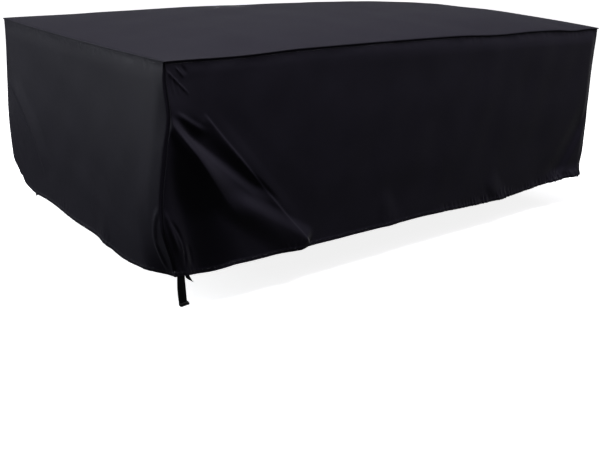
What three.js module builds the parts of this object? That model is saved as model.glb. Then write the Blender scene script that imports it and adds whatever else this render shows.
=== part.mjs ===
// A fitted patio furniture cover, hanging in its drape: a crowned top sheet, four skirt sheets sewn to it
// and to each other at the corners, and the webbing and buckle half at its hem.
// Millimetres, +Z up. The origin is under the middle of the top sheet, where the furniture carries it.
import * as THREE from 'three';
import { mergeVertices } from 'three/addons/utils/BufferGeometryUtils.js';

// ---- Driving dimensions ----
const LENGTH = 2440; // along X, at the top seam
const WIDTH = 1320; // along Y, at the top seam
const DROP = 735; // from the top seam to the hem
const CLOTH = 2; // thickness of the coated cloth with its slack
const HEM = 26; // height of the turned hem
const HEM_CLOTH = 3; // thickness of the cloth at the turned hem
const HEM_STEP = 3; // height over which the cloth thickens to the hem
const SEAM_GAP = 0.3; // clearance between two sewn sheets
const HEM_GAP = 0.5; // clearance between the hem's edge and the webbing sewn under it

const CROWN = 50; // rise of the top sheet inside its seams
const CROWN_POWER = { length: 4, width: 3 }; // how late the crown falls towards its edges
const SEAM_RISE = { front: 13, right: 22, back: 14, left: -6 }; // rise of each seam's middle over its ends

const STRAP = { width: 30, length: 104, thickness: 2 };
const TAIL = { width: 16, length: 31, thickness: 2 };
const TIP = { width: 19, length: 14, thickness: 2 };
const STRAP_AT = 22; // middles of the strap and its loose end, along the front skirt
const TAIL_AT = 50;
const TIP_AT = 222; // middle of the strap tip, along the left skirt
const POINT_WIDTH = 0.25; // a pointed end's width over its webbing's
const BUCKLE_TILT = 0.8; // how far the buckle half swings back from its strap's end
const BUCKLE = {
  width: 34, bar: 11, thickness: 7, round: 2.5,
  prong: { width: 7, length: 17, shoulder: 10, inner: 13 },
  tongue: { width: 6, length: 14 },
};

const MIDDLE_RISE = CROWN
  + (SEAM_RISE.front + SEAM_RISE.back) / 2
  + (SEAM_RISE.left + SEAM_RISE.right) / 2;
const SEAM_LEVEL = -(MIDDLE_RISE - CLOTH); // height of the top sheet's corners

// ---- Small shaping functions ----
// A smooth rise of height 1 at the middle, falling to nothing at the reach on either side.
const swell = (at, middle, reach) =>
  0.5 * (1 + Math.cos(Math.PI * THREE.MathUtils.clamp((at - middle) / reach, -1, 1)));
// A parabola that is 1 half way along and 0 at both ends of a length.
const arch = (at, length) => 4 * (at / length) * (1 - at / length);
const { lerp, smoothstep } = THREE.MathUtils;
const UP = new THREE.Vector3(0, 0, 1);

// ---- The drape ----
// Each skirt is drawn flat first: "along" runs from its left end to its right end as seen from outside, and
// "down" from the top seam to the hem. Heights are outwards from the skirt's upright plane.

const table = (columns, rows) =>
  rows.map((row) => Object.fromEntries(columns.map((name, index) => [name, row[index]])));

// How the sewn corners lean. "before" and "after" are the outward moves of the skirts that end and start
// there, swelling about the depth "down" and dying out along each skirt by its own spread.
const LEAN_COLUMNS = ['down', 'reach', 'before', 'after', 'beforeSpread', 'afterSpread'];
const CORNERS = {
  frontLeft: {
    lift: -6, liftSpread: 150,
    leans: table(LEAN_COLUMNS, [
      [170, 120, -8, 8, 70, 140], // pinched where the fan of folds starts
      [480, 250, 14, -14, 300, 80],
      [765, 240, -50, -40, 200, 260], // drawn in under the corner by its strap
    ]),
  },
  frontRight: {
    lift: -12, liftSpread: 110,
    leans: table(LEAN_COLUMNS, [[600, 500, 13, 13, 420, 420]]),
  },
  backRight: {
    lift: 0, liftSpread: 1,
    leans: table(LEAN_COLUMNS, [[620, 500, 11, 11, 420, 420]]),
  },
  backLeft: {
    lift: 55, liftSpread: 260,
    leans: table(LEAN_COLUMNS, [
      [520, 420, 9, 9, 400, 400],
      [765, 125, -34, -16, 150, 150],
    ]),
  },
};

// Folds run from one place on a skirt to another. "above" and "below" are how far each side of a fold
// reaches at the start of its run, and "aboveTo" and "belowTo" at its end. "bow" bends its middle upwards,
// and "start" and "end" are the shares of its run over which it grows and dies. A side's form is 0 for a
// soft wave, 1 for a peak and -1 for a dome.
const FOLD_COLUMNS = [
  'along', 'down', 'toAlong', 'toDown', 'bow', 'height', 'above', 'aboveTo', 'below', 'belowTo',
  'start', 'end', 'aboveForm', 'belowForm',
];
const FRONT_FOLDS = table(FOLD_COLUMNS, [
  [-16, 158, 330, 620, 0, 44, 20, 140, 20, 60, 0.3, 0.75, 0, 0.4], // the crest of the fan
  [190, 450, 620, 722, 0, 20, 50, 60, 60, 130, 0.35, 0.1, 0, 0], // its lower bend
  [30, 270, 170, 800, 0, -36, 40, 190, 30, 130, 0.35, 0.12, 0, 0], // the hollow under it
  [30, 190, 470, 540, 0, -14, 75, 30, 30, 50, 0.2, 0.3, 0.2, 0.2], // the valley over it
  [137, 170, 620, 732, -4, 8, 24, 26, 40, 60, 0.06, 0.02, 0.4, 0.6], // the crease that ends the fan
  [20, 155, 165, 246, 0, 7, 18, 24, 18, 26, 0.3, 0.35, 0.2, 0.2], // the small ridge at the fan's top
  [4, 478, 20, 690, 22, 7, 16, 18, 14, 16, 0.25, 0.3, 0, 0], // gathers beside the corner strap
  [34, 512, 66, 716, 34, 8, 18, 20, 18, 20, 0.25, 0.3, 0, 0],
  [1660, 520, 1795, 760, 0, 11, 30, 60, 30, 50, 0.5, 0.15, 0.4, 0.4], // pulls over the covered feet
  [1900, 560, 1815, 760, 0, 8, 30, 45, 30, 60, 0.5, 0.15, 0.4, 0.4],
  [985, 560, 1062, 760, 0, 6, 32, 80, 32, 80, 0.5, 0.15, 0, 0],
  [2420, 300, 2290, 760, 10, 10, 30, 50, 30, 46, 0.4, 0.15, 0.3, 0.3],
  [2440, 430, 2385, 760, 0, 8, 24, 30, 24, 34, 0.4, 0.15, 0.3, 0.3],
  [2225, 560, 2195, 760, 0, 7, 30, 50, 30, 50, 0.5, 0.15, 0.3, 0.3],
]);
const LEFT_FOLDS = table(FOLD_COLUMNS, [
  [30, 240, 360, 640, 50, -10, 40, 50, 36, 42, 0.25, 0.2, 0.2, 0.2], // the long slanting crease
  [4, 320, 160, 640, 0, -7, 40, 40, 50, 50, 0.3, 0.3, 0, 0],
  [1315, -40, 1100, 790, 0, 20, 5, 220, 260, 600, 0.5, 0.2, -1, 0], // the round beside the near corner
  [1312, 470, 1290, 705, -44, 6, 16, 18, 22, 24, 0.3, 0.25, 0, 0], // gather beside the corner strap
  [860, 600, 865, 760, 0, 5, 60, 60, 60, 60, 0.6, 0.1, 0, 0],
]);
const RIGHT_FOLDS = table(FOLD_COLUMNS, [
  [10, 300, 190, 760, 0, 9, 60, 60, 60, 60, 0.4, 0.15, 0, 0],
  [1300, 260, 1080, 760, 0, 9, 70, 70, 60, 60, 0.4, 0.15, 0, 0],
]);
const BACK_FOLDS = table(FOLD_COLUMNS, [
  [16, 240, 330, 760, 0, 12, 90, 90, 80, 80, 0.35, 0.15, 0, 0],
  [2424, 220, 2080, 760, 0, 13, 90, 90, 90, 90, 0.35, 0.15, 0, 0],
  [1180, 480, 1230, 760, 0, 6, 90, 90, 90, 90, 0.5, 0.15, 0, 0],
]);

// How far the hem hangs below its level between the corners.
const SAG_COLUMNS = ['along', 'reach', 'amount'];
const FRONT_SAGS = table(SAG_COLUMNS, [[1800, 640, 25], [1150, 1150, 9], [150, 150, 24]]);
const LEFT_SAGS = table(SAG_COLUMNS, [[990, 230, 19], [740, 260, -5], [340, 340, -20], [1260, 60, 8]]);
const RIGHT_SAGS = table(SAG_COLUMNS, [[660, 500, 8]]);
const BACK_SAGS = table(SAG_COLUMNS, [[1220, 900, 12]]);

const FOLD_FREE_SEAM = 20; // folds reach full height this far from a corner seam
const FOLD_FREE_TOP = 30; // and this far below the top seam

const PEAK_ROUND = 0.08; // how far out a fold's peak is rounded, as a share of its side

// The height of one side of a fold at a share of the way out from its crest: a half wave, mixed with a
// rounded peak for a form over 0 and with a dome for one below it.
function sideProfile(outward, form) {
  const rounded = (Math.hypot(outward, PEAK_ROUND) - PEAK_ROUND)
    / (Math.hypot(1, PEAK_ROUND) - PEAK_ROUND);
  return swell(outward, 0, 1) * (1 - Math.abs(form))
    + (1 - rounded) ** 2 * Math.max(form, 0)
    + (1 - outward ** 2) * Math.max(-form, 0);
}

// Outward height of one fold at a place on its skirt.
function foldHeight(fold, along, down) {
  const run = new THREE.Vector2(fold.toAlong - fold.along, fold.toDown - fold.down);
  const reach = run.length();
  const direction = run.clone().divideScalar(reach);
  const offset = new THREE.Vector2(along - fold.along, down - fold.down);
  const share = offset.dot(direction) / reach;
  if (share <= 0 || share >= 1) return 0;
  const across = offset.x * direction.y - offset.y * direction.x - fold.bow * arch(share, 1);
  const side = across > 0
    ? lerp(fold.above, fold.aboveTo, share)
    : lerp(fold.below, fold.belowTo, share);
  const form = across > 0 ? fold.aboveForm : fold.belowForm;
  const outward = Math.min(Math.abs(across) / side, 1);
  const growth = smoothstep(share, 0, fold.start) * (1 - smoothstep(share, 1 - fold.end, 1));
  return fold.height * growth * sideProfile(outward, form);
}

// The skirts in order round the cover. "turn" carries the front skirt's plane to each one's own, "roll" is
// how far the cloth swells out just under the top seam at each end, and the columns are the widths of its
// steps.
const SKIRTS = {
  front_panel: {
    length: LENGTH, half: WIDTH / 2, turn: 0, start: 'frontLeft', finish: 'frontRight',
    folds: FRONT_FOLDS, sags: FRONT_SAGS, roll: [-2, 12], rise: SEAM_RISE.front,
    columns: [[6, 12], [22, 24], [28, 65]],
  },
  right_panel: {
    length: WIDTH, half: LENGTH / 2, turn: 1, start: 'frontRight', finish: 'backRight',
    folds: RIGHT_FOLDS, sags: RIGHT_SAGS, roll: [10, 8], rise: SEAM_RISE.right,
    columns: [[14, 1]],
  },
  back_panel: {
    length: LENGTH, half: WIDTH / 2, turn: 2, start: 'backRight', finish: 'backLeft',
    folds: BACK_FOLDS, sags: BACK_SAGS, roll: [8, 6], rise: SEAM_RISE.back,
    columns: [[20, 1]],
  },
  left_panel: {
    length: WIDTH, half: LENGTH / 2, turn: 3, start: 'backLeft', finish: 'frontLeft',
    folds: LEFT_FOLDS, sags: LEFT_SAGS, roll: [3, 2], rise: SEAM_RISE.left,
    columns: [[10, 36], [10, 60], [12, 28]],
  },
};
const ROLL_DEPTH = 70; // depth over which the cloth swells out under the top seam
const BELLY = 6; // outward swell at half depth
const FULL_BY = 120; // distance from a corner by which a skirt has its full swell

// How far a corner carries its skirts outwards on one side, by its leans there. They die out by the spread
// of the skirt that is moved.
const cornerLean = (corner, side, down, distance, moved = side) =>
  CORNERS[corner].leans.reduce((sum, lean) => {
    const spread = lean[`${moved}Spread`];
    return sum + lean[side] * swell(down, lean.down, lean.reach) * swell(distance, 0, spread);
  }, 0);

// Where a skirt's cloth lies at "along" and "down", "inwards" from its outer face.
function skirtPoint(skirt, along, down, inwards) {
  const { length, half, start, finish } = skirt;
  const toFinish = length - along;
  const share = along / length;
  const free = smoothstep(along, 0, FOLD_FREE_SEAM) * smoothstep(toFinish, 0, FOLD_FREE_SEAM)
    * smoothstep(down, 0, FOLD_FREE_TOP);
  const folds = skirt.folds.reduce((sum, fold) => sum + foldHeight(fold, along, down), 0);
  const fullness = smoothstep(along, 0, FULL_BY) * smoothstep(toFinish, 0, FULL_BY);
  const rolled = lerp(skirt.roll[0], skirt.roll[1], share) * smoothstep(down, 0, ROLL_DEPTH);
  const out = folds * free
    + (rolled + BELLY * swell(down, DROP / 2, DROP / 2)) * fullness
    + cornerLean(start, 'after', down, along)
    + cornerLean(finish, 'before', down, toFinish);
  const sideways = cornerLean(finish, 'after', down, toFinish, 'before')
    - cornerLean(start, 'before', down, along, 'after');
  const sag = skirt.sags.reduce((sum, row) => sum + row.amount * swell(along, row.along, row.reach), 0);
  const lift = CORNERS[start].lift * swell(along, 0, CORNERS[start].liftSpread)
    + CORNERS[finish].lift * swell(toFinish, 0, CORNERS[finish].liftSpread);
  const top = skirt.rise * arch(along, length);
  const depth = down / DROP;
  const height = SEAM_LEVEL - CLOTH - SEAM_GAP + top * (1 - depth) - down - (sag - lift) * depth * depth;
  const flat = new THREE.Vector3(
    along - length / 2 + sideways + inwards * (1 - 2 * share),
    -(half + out) + inwards,
    height,
  );
  return flat.applyAxisAngle(UP, skirt.turn * (Math.PI / 2));
}

// ---- Sheets ----
const MERGE = 1e-4; // points nearer than this are one
// A closed thin sheet: a box in equal steps whose points are moved by "place(u step, v step, outer)". The
// box lies on its side, so that the diagonals of its faces fall to the right, as the main folds do.
function sheet(uSteps, vSteps, place) {
  const box = new THREE.BoxGeometry(1, 1, 1, vSteps, uSteps, 1);
  const points = box.getAttribute('position');
  for (let index = 0; index < points.count; index += 1) {
    const u = Math.round((points.getY(index) + 0.5) * uSteps);
    const v = Math.round((points.getX(index) + 0.5) * vSteps);
    const moved = place(u, v, points.getZ(index) > 0);
    points.setXYZ(index, moved.x, moved.y, moved.z);
  }
  box.deleteAttribute('normal');
  box.deleteAttribute('uv');
  const closed = mergeVertices(box, MERGE);
  closed.computeVertexNormals();
  return closed;
}

// The places of a skirt's columns, from rows of [how many, relative width], scaled to end at its finish.
function columnPlaces(columns, length) {
  const widths = columns.flatMap(([count, width]) => Array(count).fill(width));
  const total = widths.reduce((sum, width) => sum + width, 0);
  const places = [0];
  widths.forEach((width) => places.push(places.at(-1) + (width * length) / total));
  return places;
}

const BODY_ROWS = 24; // equal rows from the top seam to the hem's upper edge
const rowPlaces = [
  ...Array.from({ length: BODY_ROWS + 1 }, (_, row) => ((DROP - HEM - HEM_STEP) * row) / BODY_ROWS),
  DROP - HEM,
  DROP,
];
const CORNER_GAP = SEAM_GAP * 0.75; // how far each skirt stops short of its corners, which its mitre widens

function skirtGeometry(skirt) {
  const places = columnPlaces(skirt.columns, skirt.length);
  const last = places.length - 1;
  return sheet(last, rowPlaces.length - 1, (u, v, outer) => {
    const thickness = rowPlaces[v] > DROP - HEM - HEM_STEP ? HEM_CLOTH : CLOTH;
    const point = skirtPoint(skirt, places[u], rowPlaces[v], outer ? 0 : thickness);
    const setBack = u === 0 ? CORNER_GAP : u === last ? -CORNER_GAP : 0;
    const sideways = new THREE.Vector3(setBack, 0, 0);
    return point.add(sideways.applyAxisAngle(UP, skirt.turn * (Math.PI / 2)));
  });
}

// Height of the top sheet's upper face: its seams' own rise, blended across, and the crown between them.
function topHeight(x, y) {
  const along = x / LENGTH + 0.5;
  const across = y / WIDTH + 0.5;
  const crown = CROWN
    * (1 - Math.abs(2 * along - 1) ** CROWN_POWER.length)
    * (1 - Math.abs(2 * across - 1) ** CROWN_POWER.width);
  return SEAM_LEVEL + crown
    + arch(along, 1) * lerp(SEAM_RISE.front, SEAM_RISE.back, across)
    + arch(across, 1) * lerp(SEAM_RISE.left, SEAM_RISE.right, along);
}

const TOP_STEPS = { length: 26, width: 16 };
const topGeometry = () => sheet(TOP_STEPS.length, TOP_STEPS.width, (u, v, outer) => {
  const x = LENGTH * (u / TOP_STEPS.length - 0.5);
  const y = WIDTH * (0.5 - v / TOP_STEPS.width);
  return new THREE.Vector3(x, y, topHeight(x, y) - (outer ? 0 : CLOTH));
});

// ---- Webbing and buckle ----
const LEVEL_BY = 0.25; // share of its length by which webbing loses the slope of the hem
const CANT_BY = 0.5; // share of its length over which it takes the slope of what it ends in
// How webbing hangs from the hem of a skirt at "along": it starts face to face under the hem, turns by
// "twist" as it falls, leans by "drift", and ends with its edge on the slope "cant". It gives the middle,
// the direction across and the one outwards at a share of its length.
function hang(skirt, along, size, { twist, drift, cant = 0 }) {
  const hem = (place) => skirtPoint(skirt, place, DROP, HEM_CLOTH / 2);
  const left = hem(along - size.width / 2);
  const right = hem(along + size.width / 2);
  const top = left.clone().add(right).multiplyScalar(0.5).add(new THREE.Vector3(0, 0, -HEM_GAP));
  const level = right.clone().sub(left).normalize();
  return (share) => {
    const slope = level.z * (1 - smoothstep(share, 0, LEVEL_BY)) + cant * smoothstep(share, 1 - CANT_BY, 1);
    const across = new THREE.Vector3(level.x, level.y, slope);
    across.applyAxisAngle(UP, twist * smoothstep(share, 0, 1)).normalize();
    const out = new THREE.Vector3(across.y, -across.x, 0).normalize();
    const fall = new THREE.Vector3(drift.x, drift.y, 0).multiplyScalar(share * share);
    fall.z = -size.length * share;
    return { middle: top.clone().add(fall), across, out };
  };
}

// A ribbon of webbing on such a path, narrowed over its last share "point".
const webbing = (path, size, { steps, point = 0 }) => sheet(2, steps, (u, v, outer) => {
  const share = v / steps;
  const { middle, across, out } = path(share);
  const width = size.width * (point ? lerp(1, POINT_WIDTH, smoothstep(share, 1 - point, 1)) : 1);
  return middle.clone()
    .addScaledVector(across, width * (u / 2 - 0.5))
    .addScaledVector(out, (outer ? 0.5 : -0.5) * size.thickness);
});

// The male half of a side-release buckle, seen from the front: a bar for the webbing, two prongs and a
// tongue. The outline is drawn for its right half, and mirrored.
function buckleGeometry() {
  const { width, bar, thickness, round, prong, tongue } = BUCKLE;
  const side = width / 2;
  const rightHalf = [
    [tongue.width / 2, -bar - tongue.length],
    [tongue.width / 2, -bar],
    [side - prong.width, -bar],
    [side - prong.width, -bar - prong.inner],
    [side - prong.width / 2, -bar - prong.length],
    [side, -bar - prong.shoulder],
    [side, -round],
    [side - round, 0],
  ];
  const leftHalf = rightHalf.map(([x, y]) => [-x, y]).reverse();
  const outline = new THREE.Shape([...rightHalf, ...leftHalf].map(([x, y]) => new THREE.Vector2(x, y)));
  const body = new THREE.ExtrudeGeometry(outline, { depth: thickness, bevelEnabled: false });
  body.translate(0, 0, -thickness / 2);
  body.rotateX(Math.PI / 2);
  body.deleteAttribute('normal');
  body.deleteAttribute('uv');
  return mergeVertices(body, MERGE);
}

// ---- The cover ----
const CLOTH_COLOURS = { top: '#38373c', side: '#1d1e21', front: '#17171b' };
const oxford = (color) => new THREE.MeshStandardMaterial({ color, roughness: 0.62, metalness: 0 });
const webbingFinish = () =>
  new THREE.MeshStandardMaterial({ color: '#111113', roughness: 0.85, metalness: 0 });
const acetal = () => new THREE.MeshStandardMaterial({ color: '#0c0c0d', roughness: 0.4, metalness: 0 });

const cover = new THREE.Group();
function add(name, geometry, material) {
  const mesh = new THREE.Mesh(geometry, material);
  mesh.name = name;
  cover.add(mesh);
  return mesh;
}

add('top_panel', topGeometry(), oxford(CLOTH_COLOURS.top));
for (const [name, skirt] of Object.entries(SKIRTS)) {
  add(name, skirtGeometry(skirt), oxford(name === 'front_panel' ? CLOTH_COLOURS.front : CLOTH_COLOURS.side));
}

const { front_panel: front, left_panel: left } = SKIRTS;
const strapPath = hang(front, STRAP_AT, STRAP, { twist: -0.6, drift: { x: 4, y: -4 }, cant: 0.38 });
add('corner_strap', webbing(strapPath, STRAP, { steps: 8 }), webbingFinish());

const buckle = add('corner_buckle', buckleGeometry(), acetal());
const { middle: strapEnd, across: barLine, out: strapFront } = strapPath(1);
const barRise = barLine.clone().cross(strapFront).negate();
const barDrop = SEAM_GAP + (STRAP.thickness / 2) * Math.tan(BUCKLE_TILT);
buckle.position.copy(strapEnd).addScaledVector(barRise, -barDrop);
buckle.rotation.setFromRotationMatrix(
  new THREE.Matrix4().makeBasis(barLine, strapFront.clone().negate(), barRise)
    .multiply(new THREE.Matrix4().makeRotationX(BUCKLE_TILT)),
);

const tailPath = hang(front, TAIL_AT, TAIL, { twist: -0.35, drift: { x: 20, y: -8 } });
add('corner_strap_tail', webbing(tailPath, TAIL, { steps: 5, point: 0.6 }), webbingFinish());

const tipPath = hang(left, TIP_AT, TIP, { twist: 0.1, drift: { x: -2, y: 2 } });
add('side_strap_tip', webbing(tipPath, TIP, { steps: 3, point: 0.5 }), webbingFinish());

export default cover;
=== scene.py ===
"""A black fitted patio furniture cover: its cloth, folds, sewing, webbing and buckle half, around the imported
frame. Shapes are worked out in millimetres and put into meshes in metres."""
import math

import bpy
import numpy as np
from mathutils import Matrix, Vector


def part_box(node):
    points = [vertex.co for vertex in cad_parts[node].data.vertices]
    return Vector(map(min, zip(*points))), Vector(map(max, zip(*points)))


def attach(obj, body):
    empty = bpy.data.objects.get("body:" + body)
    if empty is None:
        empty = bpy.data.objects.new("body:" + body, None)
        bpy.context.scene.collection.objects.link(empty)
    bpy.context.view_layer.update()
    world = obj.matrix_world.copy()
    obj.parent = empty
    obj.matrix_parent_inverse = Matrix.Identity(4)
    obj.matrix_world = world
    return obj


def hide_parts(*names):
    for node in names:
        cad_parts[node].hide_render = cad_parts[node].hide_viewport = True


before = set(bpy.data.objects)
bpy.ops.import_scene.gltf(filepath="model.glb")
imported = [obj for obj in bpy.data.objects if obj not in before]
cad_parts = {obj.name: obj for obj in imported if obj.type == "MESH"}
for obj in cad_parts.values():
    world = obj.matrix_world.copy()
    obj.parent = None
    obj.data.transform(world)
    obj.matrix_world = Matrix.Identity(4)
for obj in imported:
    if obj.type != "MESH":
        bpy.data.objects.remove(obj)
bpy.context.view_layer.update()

MM = 0.001  # metres in a millimetre

# ---- Sizes, in millimetres, from the frame ----
TOP_LOW, TOP_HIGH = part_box("top_panel")
LENGTH = (TOP_HIGH.x - TOP_LOW.x) / MM
WIDTH = (TOP_HIGH.y - TOP_LOW.y) / MM
CLOTH = 2.0  # the solids' cloth thickness
SEAM_GAP = 0.3  # clearance between two neighbouring pieces
SEAM_LEVEL = TOP_LOW.z / MM + CLOTH  # height of the top sheet's corners
DROP = 735.0  # from the top seam to the hem
HEM = 16.0  # height of the turned hem
FLOOR_BELOW_SEAM = 900.0  # what the cover hangs over stands on the floor this far down

SKIN = 1.6  # thickness of the cloth that is shown
LIP = 3.0  # radius of the rounded edge that the top sheet turns into its seams
LIP_ANGLE = 140  # how far the top sheet's rim turns round it
LIP_TURN = 10.0  # how much of a skirt its rounded edge takes
SEAM_TUCK = 45.0  # how much of a skirt leans in to the top seam
CORNER_TUCK = 6.0  # how far both skirts turn in to a corner seam
SEAM_SET_BACK = 3.0  # how far behind the top sheet's rim its edge lies
SKIRT_START = 4.0  # how far a skirt's edge starts below the top sheet's
CROWN = 44.0  # rise of the top sheet inside its seams
CROWN_POWER_LENGTH, CROWN_POWER_WIDTH = 4, 3  # how late the crown falls towards its edges
# Rise of each top seam's middle over its ends.
SEAM_RISE = {"front": 13.0, "right": 22.0, "back": 14.0, "left": -6.0}


# ---- Shaping functions ----
def swell(at, middle, reach):
    """A smooth rise: half a cosine wave each way, 1 at the middle, and 0 at the reach on either side of it
    and beyond."""
    return 0.5 * (1 + np.cos(np.pi * np.clip((at - middle) / reach, -1, 1)))


def arch(share):
    """A parabola: 4 times the share times what is left of it, so 1 half way and 0 at both ends."""
    return 4 * share * (1 - share)


def ease(at, low, high):
    """A smooth step: 0 up to low, 1 from high on, and 3 t squared less 2 t cubed between them."""
    t = np.clip((at - low) / (high - low), 0, 1)
    return t * t * (3 - 2 * t)


def blend(first, second, share):
    """A straight mix: the first value at share 0 and the second at share 1."""
    return first + (second - first) * share


def rows(columns, table):
    """Rows of plain values, given the names of their columns."""
    return [dict(zip(columns.split(), row)) for row in table]


def swells(table, at):
    """The sum of the rows' amounts, each a swell about its own place."""
    return sum(row["amount"] * swell(at, row["along"], row["reach"]) for row in table)


KNOTS = 512  # random values along a line before they repeat
WAVES = 9  # plane waves that are added up
WAVE_SPREAD = (0.7, 1.5)  # their shortest and longest length, over the one asked for


def uneven(at, step, seed):
    """Unevenness along a line: a random value from -1 to 1 at every step, joined by smooth steps."""
    values = np.random.default_rng(seed).uniform(-1, 1, KNOTS)
    place = np.asarray(at) / step
    first = np.floor(place).astype(int)
    return blend(values[first % KNOTS], values[(first + 1) % KNOTS], ease(place - first, 0, 1))


def undulation(along, down, length, seed):
    """Soft unevenness over a sheet, with a mean square of 1: plane waves with random directions and phases,
    and with lengths around the given one, added up and divided by the root of half their number."""
    rng = np.random.default_rng(seed)
    turns, phases = rng.uniform(0, 2 * np.pi, (2, WAVES))
    numbers = 2 * np.pi / (length * rng.uniform(*WAVE_SPREAD, WAVES))
    total = sum(
        np.sin(number * (along * math.cos(turn) + down * math.sin(turn)) + phase)
        for number, turn, phase in zip(numbers, turns, phases)
    )
    return total / math.sqrt(WAVES / 2)


# ---- The drape ----
# Each skirt is laid out flat first: "along" runs from its left end to its right end as seen from outside,
# and "down" from the top seam to the hem. Heights are outwards from the skirt's upright plane. "Before" is
# the skirt that ends at a corner and "after" the one that starts there.
# A lean: how deep a corner moves most and how far up and down from there it still does, how far it moves
# out of the plane of either skirt, and how far along either skirt that is felt. A corner's lift raises its
# hem.
LEAN = "down reach before after before_spread after_spread"
CORNERS = {
    "front_left": dict(lift=-6, lift_spread=150, leans=rows(LEAN, [
        (170, 120, -8, 8, 70, 140),
        (480, 250, 14, -14, 300, 80),
        (765, 240, -50, -40, 160, 260),
    ])),
    "front_right": dict(lift=-12, lift_spread=110, leans=rows(LEAN, [(600, 500, 13, 13, 420, 420)])),
    "back_right": dict(lift=0, lift_spread=1, leans=rows(LEAN, [(620, 500, 11, 11, 420, 420)])),
    "back_left": dict(lift=55, lift_spread=260, leans=rows(LEAN, [
        (480, 460, 14, 12, 400, 400),
        (765, 125, -34, -16, 150, 150),
    ])),
}
# A fold: where its run starts and ends, how far it bows, its height, the reach of its upper and its lower
# side at both ends of the run, the shares of the run over which it grows and dies away, and the form of
# each side.
FOLD = "along down to_along to_down bow height above above_to below below_to start end above_form below_form"
# A sag, dip or ripple: the place along the skirt where it is most, how far from there it reaches, and how
# much.
SAG = "along reach amount"
FAN_PULLS = 2  # small pulls on each side of a foot that the hem lies on
FAN_HIGH, FAN_FALL = 74, 9  # how far over the hem the middle pull starts, and how much lower each next one
FAN_ASIDE, FAN_WIDE, FAN_NARROW = 5, 34, 11  # its lean, and the steps between the pulls' upper and lower ends
FAN_UNDER = 6  # how far under the hem they would end
FAN_PULL, FAN_LOSS = 2.6, 0.5  # height of the middle pull, and how much less each outer one has


def foot_pulls(feet):
    """Small folds that fan out above each covered foot, from a little over the hem down to it."""
    return rows(FOLD, [
        (
            foot + FAN_WIDE * k + FAN_ASIDE, DROP - FAN_HIGH + FAN_FALL * abs(k),
            foot + FAN_NARROW * k, DROP + FAN_UNDER, 2 * k, amount * (FAN_PULL - FAN_LOSS * abs(k)),
            8, 10, 9, 12, 0.5, 0.1, 0.3, 0.5,
        )
        for foot, amount in feet
        for k in range(-FAN_PULLS, FAN_PULLS + 1)
    ])


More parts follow.
